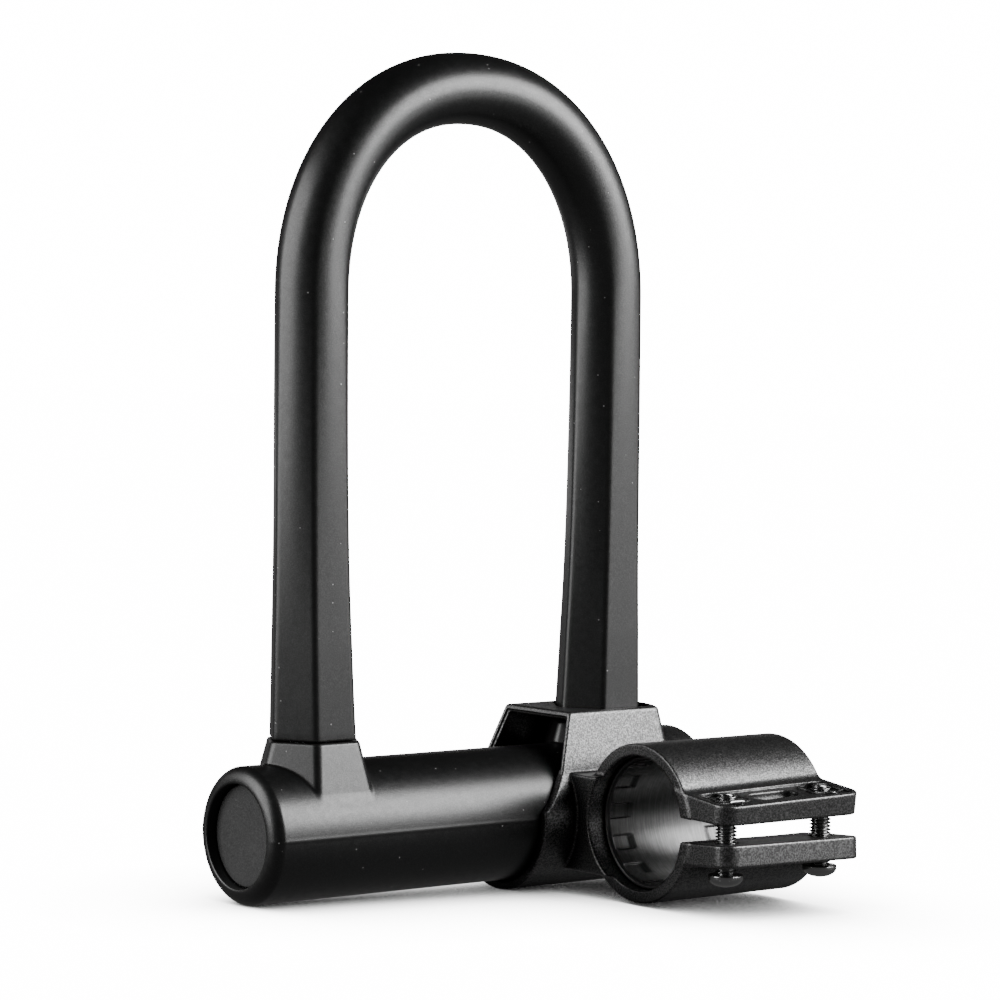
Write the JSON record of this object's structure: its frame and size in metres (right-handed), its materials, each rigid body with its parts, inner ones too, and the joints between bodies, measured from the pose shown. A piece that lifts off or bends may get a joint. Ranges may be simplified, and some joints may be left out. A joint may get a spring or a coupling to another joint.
{
  "type": "bicycle u lock with frame bracket",
  "caption": "U-shaped bicycle lock: rubber-covered steel shackle in a round crossbar with an end keyway, held in a plastic bracket whose screw clamp grips a frame tube.",
  "frame": {"origin": "centre of the crossbar's left end face, on the crossbar's axis", "axes": "+X along the crossbar from the plain end to the keyway end, +Z along the shackle's legs away from the crossbar, -Y towards the clamp ring"},
  "size_m": [0.1667, 0.112, 0.2543],
  "materials": {
    "silicone": "satin moulded silicone",
    "nylon": "grainy glass-filled nylon",
    "disc_plastic": "fine matte",
    "liner_plastic": "smooth",
    "hardened_steel": "ground",
    "black_steel": "black oxide",
    "zinc": "die cast",
    "brass": "machined"
  },
  "bodies": {
    "crossbar": {"crossbar_tube": "hardened_steel", "crossbar_sleeve": "silicone", "left_end_plug": "disc_plastic", "keyway_bezel": "disc_plastic", "left_leg_socket": "zinc", "right_leg_socket": "zinc", "left_cam_bearing": "zinc", "right_cam_bearing": "zinc", "cylinder_housing": "zinc", "left_socket_pin": "hardened_steel", "right_socket_pin": "hardened_steel", "housing_pin": "hardened_steel", "end_plug_pin": "hardened_steel", "dust_cover_rivet": "hardened_steel"},
    "shackle": {"shackle_bar": "hardened_steel", "shackle_cover": "silicone"},
    "key_train": {"cylinder_plug": "brass", "sidebar": "brass", "drive_spindle": "hardened_steel", "detainer_disc_1": "brass", "detainer_disc_2": "brass", "detainer_disc_3": "brass", "detainer_disc_4": "brass", "detainer_disc_5": "brass"},
    "left_lock_bolt": {"left_bolt": "hardened_steel"},
    "right_lock_bolt": {"right_bolt": "hardened_steel"},
    "keyway_flap": {"dust_cover": "disc_plastic"},
    "bracket": {"bracket_body": "nylon", "clamp_liner": "liner_plastic", "left_clamp_nut": "black_steel", "right_clamp_nut": "black_steel"},
    "left_screw": {"left_clamp_screw": "black_steel"},
    "right_screw": {"right_clamp_screw": "black_steel"}
  },
  "joints": [
    {"name": "shackle_slide", "type": "slide", "parent": "crossbar", "child": "shackle", "axis": [0, 0, 1], "range_m": [0, 0.04]},
    {"name": "key_turn", "type": "hinge", "parent": "crossbar", "child": "key_train", "pos_m": [0.156, 0, 0], "axis": [1, 0, 0], "range_deg": [0, 90]},
    {"name": "left_bolt_slide", "type": "slide", "parent": "crossbar", "child": "left_lock_bolt", "axis": [-1, 0, 0], "range_m": [0, 0.0055]},
    {"name": "right_bolt_slide", "type": "slide", "parent": "crossbar", "child": "right_lock_bolt", "axis": [1, 0, 0], "range_m": [0, 0.0055]},
    {"name": "dust_cover_swing", "type": "hinge", "parent": "crossbar", "child": "keyway_flap", "pos_m": [0.1573, 0, 0.009], "axis": [1, 0, 0], "range_deg": [-62, 62]},
    {"name": "bracket_shift", "type": "slide", "parent": "crossbar", "child": "bracket", "axis": [1, 0, 0], "range_m": [-0.0006, 0]},
    {"name": "left_screw_turn", "type": "hinge", "parent": "bracket", "child": "left_screw", "pos_m": [0.1176, -0.0783, 0], "axis": [0, 0, 1], "continuous": true},
    {"name": "right_screw_turn", "type": "hinge", "parent": "bracket", "child": "right_screw", "pos_m": [0.1552, -0.0783, 0], "axis": [0, 0, 1], "continuous": true}
  ],
  "couplings": [
    {"joint": "left_bolt_slide", "follows": "key_turn", "m_per_rad": 0.0035},
    {"joint": "right_bolt_slide", "follows": "key_turn", "m_per_rad": 0.0035}
  ]
}
